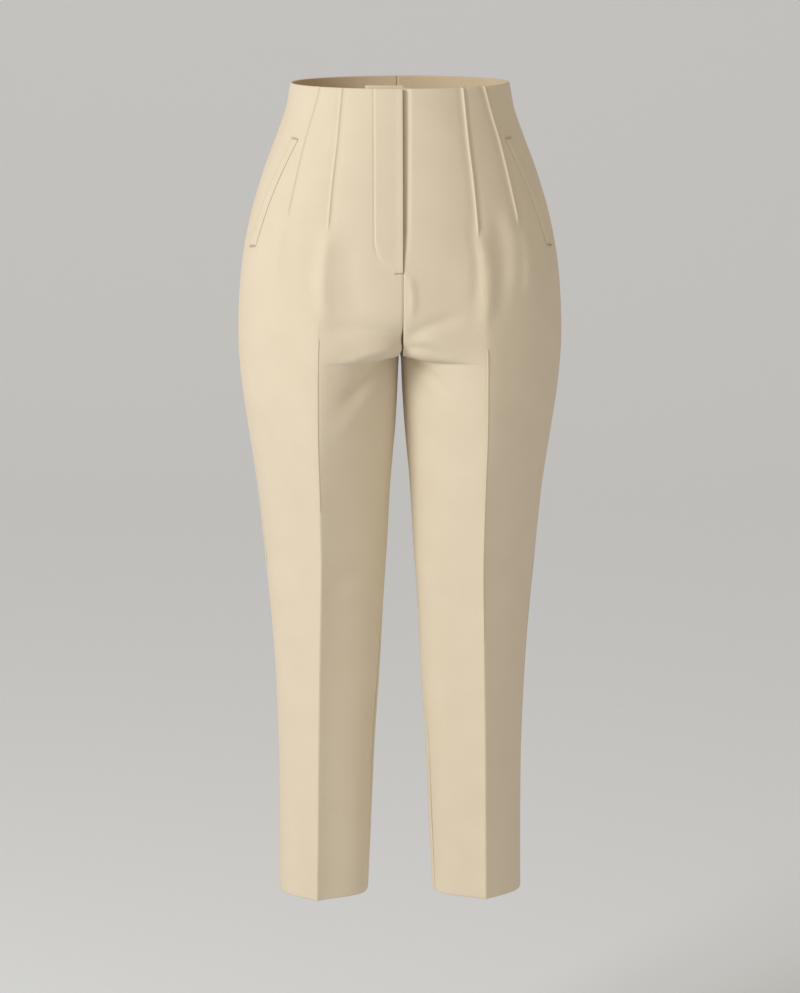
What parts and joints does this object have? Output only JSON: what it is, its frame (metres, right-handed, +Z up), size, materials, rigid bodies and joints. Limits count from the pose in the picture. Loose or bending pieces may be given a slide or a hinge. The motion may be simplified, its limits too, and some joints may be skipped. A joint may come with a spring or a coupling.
{
  "type": "cigarette trousers",
  "caption": "High-waisted, ankle-length slim trousers, worn by nobody and held at the waist, with stitched front tucks, pressed creases, a lapped fly and slanted pocket welts.",
  "frame": {"origin": "middle of the waist opening, at the height of the rim", "axes": "+Z up towards the waist, the front faces -Y, the wearer's left side is +X"},
  "size_m": [0.3764, 0.2383, 0.963],
  "materials": {
    "twill": "fine matt cotton twill, beige",
    "facing": "the same twill's inner face",
    "zip_tape": "woven zip tape",
    "zip_metal": "satin"
  },
  "bodies": {
    "root": {"back_left": "twill", "back_right": "twill", "facing_back_left": "facing", "facing_back_right": "facing", "facing_front_left": "facing", "facing_front_right": "facing", "fly_facing": "facing", "fly_shield": "twill", "fly_zip": "zip_tape", "front_left": "twill", "front_right": "twill", "hem_left": "facing", "hem_right": "facing", "pocket_welt_left": "twill", "pocket_welt_right": "twill", "zip_pull_tab": "zip_metal", "zip_slider": "zip_metal"}
  },
  "joints": []
}
